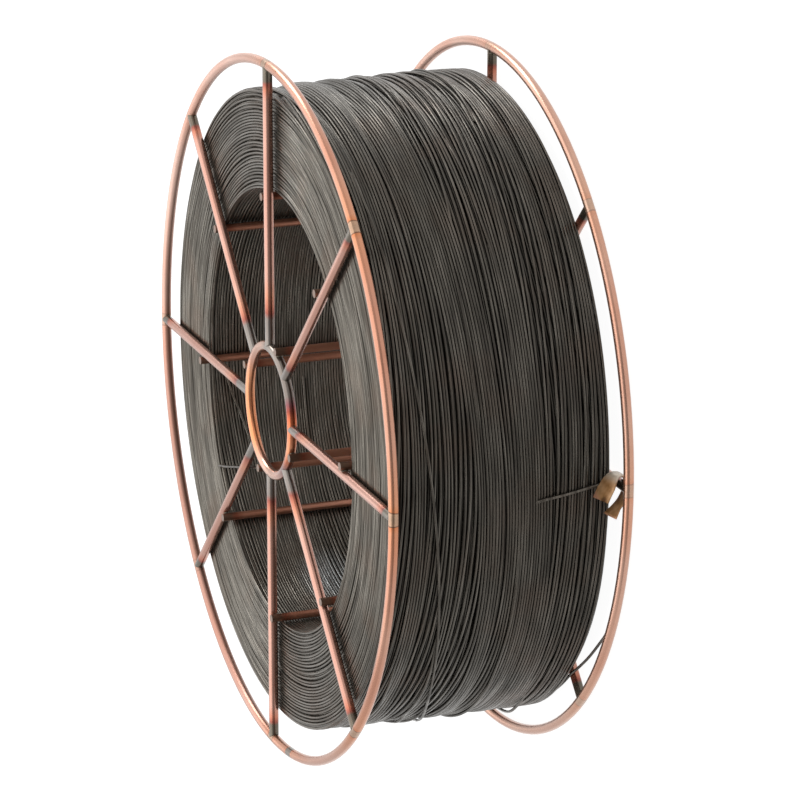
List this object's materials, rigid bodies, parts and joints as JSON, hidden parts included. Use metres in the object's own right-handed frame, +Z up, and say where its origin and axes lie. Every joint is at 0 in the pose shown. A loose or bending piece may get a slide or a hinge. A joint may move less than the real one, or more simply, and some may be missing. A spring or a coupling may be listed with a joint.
{
  "type": "wire basket spool of welding wire",
  "caption": "Welding wire wound on a round wire basket spool with spoked open flanges and a hub bore, lying on its lower flange.",
  "frame": {"origin": "middle of the spool: on its axis, halfway between the two flanges", "axes": "+Z up along the spool's axis, out of the hub bore of the upper flange; +X along a spoke, and -Y along the spoke that carries the end clip"},
  "size_m": [0.3, 0.3, 0.1039],
  "materials": {
    "basket_wire": "copper-washed drawn steel wire, satin bright, bare grey at the welds",
    "coil_wire": "dark grey-brown drawn steel wire, satin",
    "clip": "dull brown folded strip"
  },
  "bodies": {
    "root": {"upper_rim": "basket_wire", "lower_rim": "basket_wire", "upper_hub_ring": "basket_wire", "lower_hub_ring": "basket_wire", "wire_coil": "coil_wire", "end_clip": "clip", "upper_spoke_1": "basket_wire", "upper_spoke_2": "basket_wire", "upper_spoke_3": "basket_wire", "upper_spoke_4": "basket_wire", "upper_spoke_5": "basket_wire", "upper_spoke_6": "basket_wire", "upper_spoke_7": "basket_wire", "upper_spoke_8": "basket_wire", "lower_spoke_1": "basket_wire", "lower_spoke_2": "basket_wire", "lower_spoke_3": "basket_wire", "lower_spoke_4": "basket_wire", "lower_spoke_5": "basket_wire", "lower_spoke_6": "basket_wire", "lower_spoke_7": "basket_wire", "lower_spoke_8": "basket_wire", "barrel_bar_1": "basket_wire", "barrel_bar_2": "basket_wire", "barrel_bar_3": "basket_wire", "barrel_bar_4": "basket_wire", "barrel_bar_5": "basket_wire", "barrel_bar_6": "basket_wire", "barrel_bar_7": "basket_wire", "barrel_bar_8": "basket_wire", "hub_bar_1": "basket_wire", "hub_bar_2": "basket_wire", "hub_bar_3": "basket_wire", "hub_bar_4": "basket_wire"}
  },
  "joints": []
}
